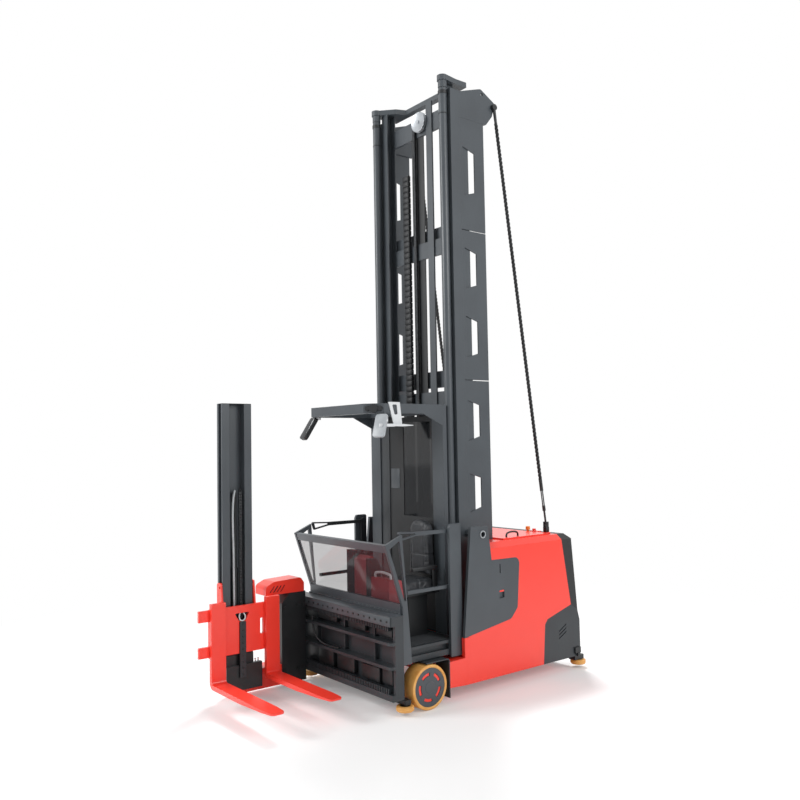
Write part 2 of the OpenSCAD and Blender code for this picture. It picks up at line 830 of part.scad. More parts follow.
module traverse_frame() {
    w = trav_w / 2;
    // Columns: bottom, top and depth behind the front face of each shelf, and its corner radius
    shelves = [[trav_low, 190, 20, 10], [395, 420, 0, 45], [590, 615, 0, 45], [745, trav_top, 0, 30]];
    back = trav_back - 30;
    place() color(slate) {
        block([-w, back, trav_low], [w, trav_back, trav_top]);
        for (s = shelves) translate([0, 0, s[0]]) linear_extrude(s[1] - s[0])
            polygon(rounded([[-w, back + deep, 0], [w, back + deep, 0], [w, trav_y + s[2], s[3]],
                [-w, trav_y + s[2], s[3]]]));
        both() block([w - 30, trav_y + 50, trav_low], [w, back + deep, trav_top]);
        // Rack teeth under the top rail and on the bottom rail
        for (x = [-w + 60 : rack_pitch : w - 60]) {
            block([x, trav_y + 25, 700], [x + rack_pitch / 2, trav_y + 60, 745 + deep]);
            block([x, trav_y + 25, 190 - deep], [x + rack_pitch / 2, trav_y + 60, 235]);
        }
        for (x = [-450, 0, 450], z = [615, 420])
            block([x - 8, trav_y + 70, z - deep], [x + 8, back + deep, z + (z > 500 ? 131 : 171)]);
    }
}

// Gates

gate_pivot = [0, 360, 1470];

module gate() {
    x0 = floor_x - 36;
    x1 = floor_x - 12;
    difference() {
        plate_x([[-225, 1425], [-60, 1455], [370, 1455], [370, 1485], [-60, 1490], [-235, 1500],
            [-248, 1488]], x0, x1);
        plate_x([[-226, 1486], [-215, 1440], [-60, 1468], [-70, 1478]], x0 - deep, x1 + deep);
    }
    block([x0, -160, 970], [x1, 370, 1000]);
    plate_x(rounded([[335, 960, 10], [390, 960, 10], [390, 1500, 20], [335, 1500, 20]]), x0, x1);
    translate([x1 - deep, gate_pivot[1], gate_pivot[2]]) rotate([0, 90, 0])
        cylinder(r = 12, h = floor_x - seat_gap - x1 + deep);
}

module gate_left() { place() color(slate) gate(); }
module gate_right() { place() color(slate) mirror([1, 0, 0]) gate(); }

// Turret head

house_x0 = pivot_x - 100;
house_x1 = pivot_x + 98;
house_y = pivot_y + 425;

module traverse_carriage() {
    back = trav_y - seat_gap;
    place() color(black) plate_x([[back, 60], [house_y + 60, 60], [house_y, 130], [house_y, 790],
        [house_y + 90, 880], [back, 880]], house_x0, house_x1);
}

module turret_arm() {
    leg = 90;
    place() color(red) {
        difference() {
            plate_x(rounded([[trav_y - 15, 880, 0], [-830, 880, 0], [-830, 960, 40], [-740, 1000, 60],
                [-460, 1010, 30], [trav_y - 15, 960, 20]]), pivot_x - 98, pivot_x + 98);
            // Slanted vents in both sides
            for (i = [0 : 3], x = [pivot_x - 98 - deep, pivot_x + 98 - 12])
                plate_x([[-790 + 36 * i, 905], [-780 + 36 * i, 900], [-735 + 36 * i, 955],
                    [-745 + 36 * i, 960]], x, x + 12 + deep);
        }
        block([pivot_x - leg, pivot_y, 60], [pivot_x + leg, house_y, 240]);
        translate([pivot_x, pivot_y, 60]) cylinder(r = leg, h = 180);
    }
}

aux_x = pivot_x - 10;
aux_m = pivot_y - 15;
aux_low = 250;
groove_d = 40;
groove_w = 50;
flange_w = 72;

module aux_mast() {
    place() color(slate) {
        translate([aux_x, aux_m - aux_w / 2, aux_low]) linear_extrude(aux_top - aux_low)
            difference() {
                square([aux_d, aux_w]);
                translate([rail_t, flange_w]) square([aux_d, aux_w - 2 * flange_w]);
                for (y = [-deep, aux_w - groove_d])
                    translate([aux_d / 2 - 20, y]) square([groove_w, groove_d + deep]);
            }
        translate([pivot_x, pivot_y, 240 + seat_gap]) cylinder(r = 85, h = 20);
    }
}

module mast_foot() {
    front = pivot_x + plate_x;
    place() color(black) {
        // Foot under the fork carriage, its back plate and the lift cylinder in the channel
        block([pivot_x + 100, pivot_y - 150, 100], [front - clear, pivot_y + 198, 320]);
        block([aux_x + aux_d, aux_m - 140, aux_low], [front - carriage_t - clear, aux_m + 140, 410]);
        translate([aux_x + aux_d / 2, aux_m, aux_low + 11]) {
            cylinder(r = 24, h = 900);
            translate([0, 0, 850]) cylinder(r = 14, h = 730);
        }
        block([aux_x + rail_t, aux_m - 30, aux_low + 11], [aux_x + aux_d + deep, aux_m + 30, 400]);
    }
}

module fork_carriage() {
    x0 = pivot_x + plate_x - carriage_t;
    x1 = pivot_x + plate_x;
    a = pivot_y + fork_a - fork_w / 2;
    b = pivot_y + fork_b + fork_w / 2 + 20;
    m = pivot_y;
    low = 425;
    groove_x = aux_x + aux_d / 2 - 20 + groove_w / 2;
    place() color(red) {
        difference() {
            plate_x([[a, low], [b, low], [b, carriage_top], [a, carriage_top]], x0, x1);
            plate_x(rounded([[m - 30, 705, 12], [m + 30, 705, 12], [m + 72, 775, 8], [m - 72, 775, 8]]),
                x0 - deep, x1 + deep);
            plate_x(rounded([[m + 178, 565, 10], [m + 212, 565, 10], [m + 212, 705, 10],
                [m + 178, 705, 10]]), x0 - deep, x1 + deep);
        }
        // Columns: bottom and top of each lug
        for (z = [[435, 527], [740, 837]]) block([x0, a - lug_l, z[0]], [x1, a + deep, z[1]]);
        // Cheeks beside the auxiliary mast, each with two rollers in its groove
        for (s = [-1, 1]) {
            y = aux_m + s * (aux_w / 2 + clear);
            difference() {
                translate([0, min(y, y + s * 16), 0]) rotate([90, 0, 0]) translate([0, 0, -16])
                    linear_extrude(16) polygon(rounded([[pivot_x + 15, 600, 20], [x0 + deep, 560, 0],
                        [x0 + deep, carriage_top, 0], [pivot_x + 90, 1045, 20],
                        [pivot_x + 15, 1045, 30]]));
                translate([pivot_x + 72, y + s * 20, 1005]) rotate([90 * s, 0, 0])
                    cylinder(r = 13, h = 24);
            }
            for (z = [690, 960]) translate([groove_x, y + s, z]) rotate([90 * s, 0, 0])
                cylinder(r = groove_w / 2 - seat_gap, h = groove_d + clear);
        }
    }
}

module carriage_bar() {
    x = pivot_x + plate_x + seat_gap;
    place() color(slate) block([x, pivot_y - 29, 215], [x + 15, pivot_y + 29, 700]);
}

module forks() {
    x0 = pivot_x + plate_x;
    top = carriage_top + 53 - fork_z;
    w = fork_w / 2;
    // Middle of each fork, in front of and behind the pivot
    place() color(red) for (y = [pivot_y + fork_a, pivot_y + fork_b]) translate([x0, y, fork_z])
        intersection() {
            // Side view, with its round heel
            rotate([90, 0, 0]) translate([0, 0, -w]) linear_extrude(fork_w)
                polygon(rounded([[0, 0, 60], [fork_l * 0.5, 0, 0], [fork_l, fork_t - 14, 0],
                    [fork_l, fork_t, 0], [fork_t, fork_t, 25], [fork_t, top, 8], [0, top, 8]]));
            // Plan view, with its rounded tip
            linear_extrude(top) polygon(rounded([[0, -w, 0], [fork_l * 0.85, -w, 0],
                [fork_l - 6, 12 - w, 35], [fork_l - 6, w - 12, 35], [fork_l * 0.85, w, 0],
                [0, w, 0]]));
        }
}

chassis_body();
load_legs();
battery();
hood();
side_panels();
rear_cover();
rear_strip();
fenders();
roller_brackets();
outer_rail_left();
outer_rail_right();
mast_cross_beams();
mast_side_plates();
mast_stays();
lift_cylinders();
tyre_left();
hub_left();
tyre_right();
hub_right();
guide_roller_front_left();
guide_roller_front_right();
guide_roller_rear_left();
guide_roller_rear_right();
drive_turntable();
drive_wheel();
inner_rail_left();
inner_rail_right();
inner_cross_beams();
hose_tray();
mast_yoke();
lift_rods();
cab_posts();
cab_carriage();
cab_floor();
overhead_guard();
rear_wall();
windscreen_frame();
windscreen();
side_posts();
console();
console_pods();
rear_window();
seat_base();
seat_cushion();
seat_back();
guard_lamp();
mirrors();
traverse_frame();
gate_left();
gate_right();
traverse_carriage();
turret_arm();
aux_mast();
mast_foot();
fork_carriage();
carriage_bar();
forks();
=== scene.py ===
"""Man-up turret truck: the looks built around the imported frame, in metres."""

import json
import math

import bmesh
import bpy
from mathutils import Matrix, Vector


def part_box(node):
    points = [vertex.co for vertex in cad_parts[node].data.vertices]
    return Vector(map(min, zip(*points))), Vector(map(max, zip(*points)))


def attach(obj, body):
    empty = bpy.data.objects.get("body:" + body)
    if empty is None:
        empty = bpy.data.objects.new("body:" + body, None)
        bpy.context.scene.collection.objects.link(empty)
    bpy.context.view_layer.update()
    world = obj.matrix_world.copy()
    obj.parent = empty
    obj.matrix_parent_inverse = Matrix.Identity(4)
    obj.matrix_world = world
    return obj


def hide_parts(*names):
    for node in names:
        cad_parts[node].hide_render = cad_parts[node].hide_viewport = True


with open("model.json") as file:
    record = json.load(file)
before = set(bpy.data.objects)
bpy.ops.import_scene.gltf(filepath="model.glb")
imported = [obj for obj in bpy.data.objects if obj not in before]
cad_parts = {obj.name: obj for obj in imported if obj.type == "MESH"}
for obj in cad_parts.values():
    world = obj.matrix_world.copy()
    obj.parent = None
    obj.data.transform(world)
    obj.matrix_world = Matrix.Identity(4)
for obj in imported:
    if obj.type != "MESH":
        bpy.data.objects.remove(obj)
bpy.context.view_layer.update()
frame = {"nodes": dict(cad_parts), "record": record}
scene = bpy.context.scene
MM = 0.001

# The load axle is the zero of every place below, as on a drawing of the truck
AXLE_Y = sum(corner[1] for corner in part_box("tyre_left")) / 2


def at(x, y, z):
    """A place in millimetres: left of the middle, behind the load axle, above the floor."""
    return Vector((x * MM, AXLE_Y + y * MM, z * MM))


# Camera

EYE = at(6129.7, -4503.4, 2236.8)
YAW = math.radians(51.70)
PITCH = math.radians(3.14)
ROLL = math.radians(-0.994)
LENS_MM = 36.69
SENSOR_MM = 36.0


def make_camera():
    forward = Vector((-math.sin(YAW) * math.cos(PITCH), math.cos(YAW) * math.cos(PITCH), math.sin(PITCH)))
    level = Vector((math.cos(YAW), math.sin(YAW), 0))
    above = level.cross(forward)
    right = level * math.cos(ROLL) + above * math.sin(ROLL)
    up = above * math.cos(ROLL) - level * math.sin(ROLL)
    data = bpy.data.cameras.new("photo_camera")
    data.lens = LENS_MM
    data.sensor_width = SENSOR_MM
    data.sensor_height = SENSOR_MM
    data.sensor_fit = "HORIZONTAL"
    data.clip_end = 200
    camera = bpy.data.objects.new("photo_camera", data)
    turn = Matrix((right, up, -forward)).transposed().to_4x4()
    camera.matrix_world = Matrix.Translation(EYE) @ turn
    scene.collection.objects.link(camera)
    scene.camera = camera


# Materials


def linear(colour):
    """An sRGB hex colour as linear values."""
    parts = [int(colour[i : i + 2], 16) / 255 for i in (1, 3, 5)]
    return [p / 12.92 if p <= 0.04045 else ((p + 0.055) / 1.055) ** 2.4 for p in parts] + [1.0]


def add(tree, kind, inputs=None, **settings):
    """Adds a node with its settings, and fills or links its inputs."""
    node = tree.nodes.new(kind)
    for key, value in settings.items():
        setattr(node, key, value)
    for key, value in (inputs or {}).items():
        if isinstance(value, bpy.types.NodeSocket):
            tree.links.new(value, node.inputs[key])
        else:
            node.inputs[key].default_value = value
    return node


def finish_material(name, tones, tone_m, grain_m, bump, rough, edge_m=0.0025, stretch=(1, 1, 1), **shader):
    """A surface with two tones in soft clouds, a fine grain, and edges that catch the light.

    tones are its two colours, tone_m and grain_m the sizes of clouds and grain, rough its least
    and most roughness, and shader what the principled shader itself is set to.
    """
    material = bpy.data.materials.new(name)
    material.use_nodes = True
    tree = material.node_tree
    tree.nodes.clear()
    place = add(tree, "ShaderNodeTexCoord").outputs["Object"]
    laid = add(tree, "ShaderNodeMapping", {"Vector": place, "Scale": stretch}).outputs["Vector"]
    clouds = add(tree, "ShaderNodeTexNoise", {"Vector": place, "Scale": 1 / tone_m, "Detail": 4.0})
    grain = add(tree, "ShaderNodeTexNoise", {"Vector": laid, "Scale": 1 / grain_m, "Detail": 2.0})
    ramp = add(tree, "ShaderNodeValToRGB", {"Fac": clouds.outputs["Fac"]})
    ramp.color_ramp.elements[0].position = 0.35
    ramp.color_ramp.elements[1].position = 0.65
    ramp.color_ramp.elements[0].color = linear(tones[0])
    ramp.color_ramp.elements[1].color = linear(tones[1])
    spread = add(tree, "ShaderNodeMapRange", {"Value": grain.outputs["Fac"], "To Min": rough[0], "To Max": rough[1]})
    rounded = add(tree, "ShaderNodeBevel", {"Radius": edge_m}, samples=4)
    relief = add(
        tree,
        "ShaderNodeBump",
        {"Height": grain.outputs["Fac"], "Strength": bump, "Distance": 0.001, "Normal": rounded.outputs["Normal"]},
    )
    surface = add(
        tree,
        "ShaderNodeBsdfPrincipled",
        {
            "Base Color": ramp.outputs["Color"],
            "Roughness": spread.outputs["Result"],
            "Normal": relief.outputs["Normal"],
            **shader,
        },
    )
    add(tree, "ShaderNodeOutputMaterial", {"Surface": surface.outputs["BSDF"]})
    return material


# Gloss powder coat on steel plate: bright and even, with a faint orange peel
red_coat = finish_material(
    "red_powder_coat", ("#F23727", "#F73D2C"), 0.6, 0.006, 0.05, (0.27, 0.36), **{"Coat Weight": 0.25, "Coat Roughness": 0.12}
)
# Satin powder coat on mast sections: dark slate, and a soft sheen on its edges
slate_coat = finish_material(
    "slate_powder_coat", ("#3F4449", "#464C51"), 0.5, 0.004, 0.08, (0.3, 0.42), edge_m=0.004
)
# The same coat a shade darker, on plates that face the battery and the drive
dark_coat = finish_material(
    "dark_powder_coat", ("#262A2E", "#2C3135"), 0.4, 0.004, 0.08, (0.34, 0.46), edge_m=0.004
)
# Pigmented polyurethane paint on the console, darkened to a deep red as painted shade inside the cab, with no clear
# coat over it
shaded_red = finish_material("console_red_painted_shade", ("#93343A", "#A03C41"), 0.3, 0.005, 0.08, (0.42, 0.55))
# Satin black enamel on cast and welded brackets
black_enamel = finish_material("black_enamel", ("#17191B", "#1D2022"), 0.2, 0.005, 0.12, (0.34, 0.46))
# Moulded ABS with a fine leather-like grain that breaks up its highlights
black_abs = finish_material("black_abs_moulding", ("#16181A", "#1B1D20"), 0.15, 0.0025, 0.25, (0.46, 0.6))
# White powder coat on pressed brackets
white_coat = finish_material("white_powder_coat", ("#CDD0D2", "#D6D9DB"), 0.3, 0.004, 0.06, (0.36, 0.46))
# Cast polyurethane: tan, waxy and slightly marbled, a little light passes under its skin
tan_urethane = finish_material(
    "cast_polyurethane", ("#DB9C4C", "#E8AE62"), 0.08, 0.008, 0.18, (0.38, 0.5), **{"Subsurface Weight": 0.05}
)
# Turned and ground steel: a dull shine with fine lathe lines
turned_steel = finish_material(
    "turned_steel", ("#A7ABAF", "#B8BCC0"), 0.1, 0.002, 0.1, (0.24, 0.36), stretch=(1, 1, 12), Metallic=1.0
)
# Hard chrome on cylinder rods: a clean mirror with a hint of grinding
hard_chrome = finish_material("hard_chrome", ("#D9DCDE", "#E3E5E7"), 0.3, 0.002, 0.03, (0.06, 0.12), Metallic=1.0)
# Oiled leaf-chain steel: dark plates with brighter rubbed faces
chain_steel = finish_material("oiled_chain_steel", ("#2A2B2C", "#4A4C4E"), 0.012, 0.003, 0.2, (0.3, 0.5), Metallic=0.8)
# Ribbed rubber mat: matt and dusty
floor_rubber = finish_material("ribbed_rubber_mat", ("#2B2E31", "#34383B"), 0.1, 0.004, 0.3, (0.62, 0.78))
# Coated vinyl over foam: black, with a soft hide grain
seat_vinyl = finish_material("grained_vinyl", ("#2A2C2F", "#33363A"), 0.05, 0.0022, 0.5, (0.4, 0.55), edge_m=0.001)
# Braided sleeve over wire rope: matt black with a crossed weave
rope_sleeve = finish_material("braided_rope_sleeve", ("#141516", "#26282A"), 0.01, 0.003, 0.6, (0.55, 0.7))
# Moulded orange plastic of a release knob
orange_knob = finish_material("orange_plastic", ("#EE8A22", "#F59A33"), 0.05, 0.003, 0.1, (0.3, 0.4))
# Grey-white rubber hose
pale_hose = finish_material("pale_hose_rubber", ("#A9ADB0", "#B6BABC"), 0.05, 0.003, 0.15, (0.4, 0.55))
# Grey ASA moulding of a mirror's back: smooth and satin
grey_moulding = finish_material("grey_asa_moulding", ("#9DA2A6", "#A9AEB1"), 0.1, 0.003, 0.1, (0.34, 0.44))


def smoked_pane(name, tint, cover):
    """Smoked polycarbonate: a dark tint that the cab shows through, and a clean gloss."""
    material = finish_material(name, (tint, tint), 0.4, 0.01, 0.0, (0.05, 0.08), Alpha=cover)
    material.surface_render_method = "BLENDED"
    return material


smoked_glass = smoked_pane("smoked_windscreen", "#3D3539", 0.32)
rear_glass = smoked_pane("smoked_rear_pane", "#1E2023", 0.86)

FINISHES = {
    "red_paint": red_coat,
    "slate_paint": slate_coat,
    "black_paint": black_enamel,
    "black_plastic": black_abs,
    "battery_case": black_enamel,
    "polyurethane": tan_urethane,
    "wheel_disc": slate_coat,
    "machined_steel": turned_steel,
    "chrome_rod": hard_chrome,
    "floor_mat": dark_coat,
    "tinted_glass": smoked_glass,
    "seat_vinyl": seat_vinyl,
    "white_paint": white_coat,
}


def dress_frame():
    """Gives every node of the frame the finish of its own slot, or the one listed for it below."""
    own = {
        "rear_window": rear_glass,
        "rear_cover": dark_coat,
        # The far gate in black enamel where the near gate is slate: painted shade on the far side
        "gate_right": black_enamel,
        "traverse_frame": dark_coat,
        "carriage_bar": dark_coat,
        "fenders": dark_coat,
        "console_pods": shaded_red,
    }
    for row in frame["record"]["subparts"]:
        node = frame["nodes"][row["node"]]
        finish = own.get(row["node"], FINISHES[row["material_slot"]])
        if not node.material_slots:
            node.data.materials.append(finish)
        for slot in node.material_slots:
            slot.material = finish


# Shapes


SHARP = math.radians(34)


def piece(name, bm, material, body, replaced=()):
    """Makes a finished shape an object that rides on a body."""
    bmesh.ops.remove_doubles(bm, verts=bm.verts, dist=1e-6)
    bmesh.ops.recalc_face_normals(bm, faces=bm.faces)
    for face in bm.faces:
        face.smooth = True
    for edge in bm.edges:
        edge.smooth = len(edge.link_faces) == 2 and edge.calc_face_angle() < SHARP
    mesh = bpy.data.meshes.new(name)
    bm.to_mesh(mesh)
    bm.free()
    mesh.materials.append(material)
    made = bpy.data.objects.new(name, mesh)
    scene.collection.objects.link(made)
    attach(made, body)
    if replaced:
        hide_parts(*replaced)
    return made


def block(bm, low, high, edge=0.002):
    """A plate or block between two corners, with its edges broken."""
    verts = bmesh.ops.create_cube(bm, size=1)["verts"]
    size = high - low
    bmesh.ops.scale(bm, vec=size, verts=verts)
    bmesh.ops.translate(bm, vec=(low + high) / 2, verts=verts)
    edges = list({e for v in verts for e in v.link_edges})
    if edge:
        bmesh.ops.bevel(
            bm, geom=edges, offset=edge, segments=2, profile=0.5, affect="EDGES", material=-1, clamp_overlap=True
        )


def rod(bm, start, end, radius, segments=20, end_radius=None):
    """A round bar or cone from one place to another."""
    run = end - start
    turn = Vector((0, 0, 1)).rotation_difference(run).to_matrix().to_4x4()
    bmesh.ops.create_cone(
        bm,
        cap_ends=True,
        segments=segments,
        radius1=radius,
        radius2=radius if end_radius is None else end_radius,
        depth=run.length,
        matrix=Matrix.Translation((start + end) / 2) @ turn,
    )


def turned(bm, profile, centre, axis, steps=48):
    """A ring turned about an axis. The profile's columns are radius and place along the axis."""
    out = Vector((0, 0, 1)) if abs(axis.z) < 0.5 else Vector((1, 0, 0))
    verts = [bm.verts.new(centre + out * r + axis * h) for r, h in profile]
    edges = [bm.edges.new((verts[i], verts[(i + 1) % len(verts)])) for i in range(len(verts))]
    bmesh.ops.spin(bm, geom=verts + edges, cent=centre, axis=axis, angle=2 * math.pi, steps=steps, use_merge=True)


def hose(name, points, radius, material, body):
    """A hose or bent bar along a route, made a mesh."""
    curve = bpy.data.curves.new(name, "CURVE")
    curve.dimensions = "3D"
    curve.bevel_depth = radius
    curve.bevel_resolution = 3
    curve.resolution_u = 8
    curve.use_fill_caps = True
    spline = curve.splines.new("BEZIER")
    spline.bezier_points.add(len(points) - 1)
    for point, place in zip(spline.bezier_points, points):
        point.co = place
        point.handle_left_type = point.handle_right_type = "AUTO"
    drawn = bpy.data.objects.new(name, curve)
    scene.collection.objects.link(drawn)
    mesh = bpy.data.meshes.new_from_object(drawn.evaluated_get(bpy.context.evaluated_depsgraph_get()))
    bpy.data.objects.remove(drawn)
    bm = bmesh.new()
    bm.from_mesh(mesh)
    return piece(name, bm, material, body)


def bolts(bm, places, axis, radius=0.011, height=0.009):
    """Hexagon bolt heads on washers, standing out along an axis."""
    for place in places:
        rod(bm, place, place + axis * 0.003, radius * 1.45, 20)
        rod(bm, place + axis * 0.003, place + axis * (0.003 + height), radius, 6)


X, Y, Z = Vector((1, 0, 0)), Vector((0, 1, 0)), Vector((0, 0, 1))
SIDES = (("left", 1), ("right", -1))

# Wheels


def make_wheels():
    """Load wheels: a cast tyre with round shoulders, and red arcs sunk in the disc."""
    for side, sign in SIDES:
        low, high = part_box("tyre_" + side)
        centre = (low + high) / 2
        radius = (high.z - low.z) / 2
        half = (high.x - low.x) / 2
        inner = 0.162
        bm = bmesh.new()
        turned(
            bm,
            [
                (inner, -half + 0.004),
                (inner + 0.012, -half),
                (radius - 0.016, -half),
                (radius - 0.005, -half + 0.004),
                (radius, -half + 0.015),
                (radius, half - 0.015),
                (radius - 0.005, half - 0.004),
                (radius - 0.016, half),
                (inner + 0.012, half),
                (inner, half - 0.004),
            ],
            centre,
            X,
            96,
        )
        piece("load_tyre_" + side, bm, tan_urethane, "load_wheel_" + side, ["tyre_" + side])
        bm = bmesh.new()
        face = centre + X * sign * (half - 0.008)
        for i in range(5):
            start = math.radians(72 * i + 25 + 1.5)
            verts = [
                bm.verts.new(face - X * sign * depth + (Z * math.cos(start) + Y * math.sin(start)) * r)
                for r, depth in ((0.097, 0.004), (0.120, 0.004), (0.120, 0.010), (0.097, 0.010))
            ]
            ring = [bm.edges.new((verts[k], verts[(k + 1) % 4])) for k in range(4)]
            cap = bm.faces.new(verts)
            bmesh.ops.spin(bm, geom=verts + ring + [cap], cent=centre, axis=-X, angle=math.radians(43), steps=12)
        piece("disc_arcs_" + side, bm, red_coat, "load_wheel_" + side)
        bm = bmesh.new()
        turned(bm, [(0.001, 0.0), (0.05, 0.0), (0.052, -0.003), (0.052, -0.006), (0.001, -0.006)], face + X * sign * 0.004, X * sign, 40)
        piece("hub_cap_" + side, bm, slate_coat, "load_wheel_" + side)


def make_guide_rollers():
    """Guide rollers: a round-edged tread on a dark hub."""
    for end in ("front", "rear"):
        for side, _ in SIDES:
            node = "guide_roller_%s_%s" % (end, side)
            body = "roller_%s_%s" % (end, side)
            low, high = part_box(node)
            centre = (low + high) / 2
            radius = (high.x - low.x) / 2
            half = (high.z - low.z) / 2
            bm = bmesh.new()
            turned(
                bm,
                [
                    (0.045, -half),
                    (radius - 0.01, -half),
                    (radius - 0.002, -half + 0.006),
                    (radius, -half + 0.014),
                    (radius, half - 0.014),
                    (radius - 0.002, half - 0.006),
                    (radius - 0.01, half),
                    (0.045, half),
                ],
                centre,
                Z,
                64,
            )
            piece("guide_tread_%s_%s" % (end, side), bm, tan_urethane, body, [node])
            bm = bmesh.new()
            turned(
                bm, [(0.0105, -half + 0.004), (0.0455, -half + 0.004), (0.0455, half - 0.004), (0.0105, half - 0.004)], centre, Z, 40
            )
            piece("guide_hub_%s_%s" % (end, side), bm, black_enamel, body)


def make_drive_wheel():
    low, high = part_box("drive_wheel")
    centre = (low + high) / 2
    radius = (high.z - low.z) / 2
    half = (high.x - low.x) / 2
    bm = bmesh.new()
    turned(
        bm,
        [(0.14, -half), (radius - 0.012, -half), (radius, -half + 0.012), (radius, half - 0.012), (radius - 0.012, half), (0.14, half)],
        centre,
        X,
        72,
    )
    piece("drive_tread", bm, tan_urethane, "drive_wheel", ["drive_wheel"])
    bm = bmesh.new()
    turned(bm, [(0.0255, -half + 0.01), (0.141, -half + 0.01), (0.141, half - 0.01), (0.0255, half - 0.01)], centre, X, 48)
    piece("drive_rim", bm, turned_steel, "drive_wheel")


# Mast


def make_stays():
    """Twisted wire ropes in black sleeves, with eyes, turnbuckles and forks at their ends."""
    for side, sign in SIDES:
        top = at(591 * sign, 1105, 5520)
        low = at(615 * sign, 1668, 1440)
        run = (low - top).normalized()
        rope_top = top + run * 0.16
        rope_low = low - run * 0.42
        bm = bmesh.new()
        strand = bmesh.ops.create_circle(bm, cap_ends=True, segments=8, radius=0.0095)["verts"]
        length = (rope_low - rope_top).length
        turn = Vector((0, 0, 1)).rotation_difference(run).to_matrix().to_4x4()
        bmesh.ops.translate(bm, vec=(0.009, 0, 0), verts=strand)
        faces = [f for f in bm.faces]
        laid = 0.12
        steps = int(length / laid * 10)
        bmesh.ops.spin(
            bm,
            geom=strand + list({e for v in strand for e in v.link_edges}) + faces,
            cent=(0, 0, 0),
            axis=(0, 0, 1),
            dvec=(0, 0, length / steps),
            angle=2 * math.pi * length / laid,
            steps=steps,
        )
        first = list(bm.verts) + list(bm.edges) + list(bm.faces)
        for third in (1, 2):
            copy = bmesh.ops.duplicate(bm, geom=first)["geom"]
            moved = [g for g in copy if isinstance(g, bmesh.types.BMVert)]
            bmesh.ops.rotate(bm, verts=moved, cent=(0, 0, 0), matrix=Matrix.Rotation(third * 2 * math.pi / 3, 3, "Z"))
        bmesh.ops.transform(bm, matrix=Matrix.Translation(rope_top) @ turn, verts=bm.verts)
        piece("stay_rope_" + side, bm, rope_sleeve, "chassis", ["mast_stays"])
        bm = bmesh.new()
        rod(bm, top - X * 0.016, top + X * 0.016, 0.030, 32)
        rod(bm, top, rope_top + run * 0.02, 0.016, 20, 0.013)
        rod(bm, rope_low - run * 0.02, rope_low + run * 0.10, 0.017, 24)
        for offset in (-0.011, 0.011):
            rod(bm, rope_low + run * 0.10 + Y * offset, rope_low + run * 0.26 + Y * offset, 0.006, 12)
        rod(bm, rope_low + run * 0.25, rope_low + run * 0.30, 0.017, 6)
        rod(bm, rope_low + run * 0.30, low, 0.010, 16)
        for offset in (-0.016, 0.016):
            block(bm, at(615 * sign - 4, 1650, 1380) + X * offset, at(615 * sign + 4, 1692, 1450) + X * offset, 0.003)
        block(bm, at(615 * sign - 22, 1648, 1346), at(615 * sign + 22, 1696, 1400), 0.006)
        rod(bm, at(615 * sign - 28, 1670, 1432), at(615 * sign + 28, 1670, 1432), 0.009, 16)
        piece("stay_fittings_" + side, bm, black_enamel, "chassis")
        bm = bmesh.new()
        block(bm, at(615 * sign - 30, 1638, 1333.5), at(615 * sign + 30, 1702, 1347), 0.003)
        piece("stay_foot_" + side, bm, red_coat, "chassis")


def make_cylinder_caps():
    """Black collars round the lift cylinders, at their heads and at their feet."""
    for side, sign in SIDES:
        low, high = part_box("lift_cylinders")
        centre = at(518 * sign, 500, 0)
        bm = bmesh.new()
        for z, height, grow in ((5520, 34, 5), (5330, 10, 3), (620, 40, 5)):
            turned(
                bm,
                [(0.0395, 0), (0.0395 + grow * MM, 0.002), (0.0395 + grow * MM, height * MM - 0.002), (0.0395, height * MM)],
                centre + Z * z * MM,
                Z,
                48,
            )
        piece("cylinder_collars_" + side, bm, black_enamel, "chassis")


def make_chains():
    """The leaf chain over the head pulley, and the cable chain beside it."""
    link_pitch = 0.0635
    bm = bmesh.new()
    for z in (0, 1):
        shift = Z * z * link_pitch / 2
        for x in (-0.014, -0.005, 0.005, 0.014) if z else (-0.0095, 0, 0.0095):
            block(bm, at(-50, 604, 700) + X * (x - 0.002) + shift, at(-50, 624, 760) + X * (x + 0.002) + shift, 0.0)
    rod(bm, at(-68, 614, 712), at(-32, 614, 712), 0.006, 8)
    rod(bm, at(-68, 614, 744), at(-32, 614, 744), 0.006, 8)
    links = piece("lift_chain", bm, chain_steel, "inner_mast")
    array = links.modifiers.new("links", "ARRAY")
    array.count = 74
    array.use_relative_offset = False
    array.use_constant_offset = True
    array.constant_offset_displace = (0, 0, link_pitch)
    bm = bmesh.new()
    block(bm, at(-222, 592, 690), at(-132, 628, 744), 0.006)
    block(bm, at(-214, 588, 700), at(-140, 593, 734), 0.002)
    carrier = piece("cable_chain", bm, black_abs, "inner_mast")
    array = carrier.modifiers.new("links", "ARRAY")
    array.count = 76
    array.use_relative_offset = False
    array.use_constant_offset = True
    array.constant_offset_displace = (0, 0, 0.056)
    bm = bmesh.new()
    turned(
        bm,
        [(0.012, -0.014), (0.088, -0.014), (0.096, -0.017), (0.1, -0.014), (0.1, -0.010), (0.09, -0.006), (0.09, 0.006), (0.1, 0.010), (0.1, 0.014), (0.096, 0.017), (0.088, 0.014), (0.012, 0.014)],
        at(45, 600, 5430),
        Y,
        64,
    )
    rod(bm, at(45, 578, 5430), at(45, 632, 5430), 0.018, 24)
    piece("chain_pulley", bm, turned_steel, "inner_mast")


# Cab


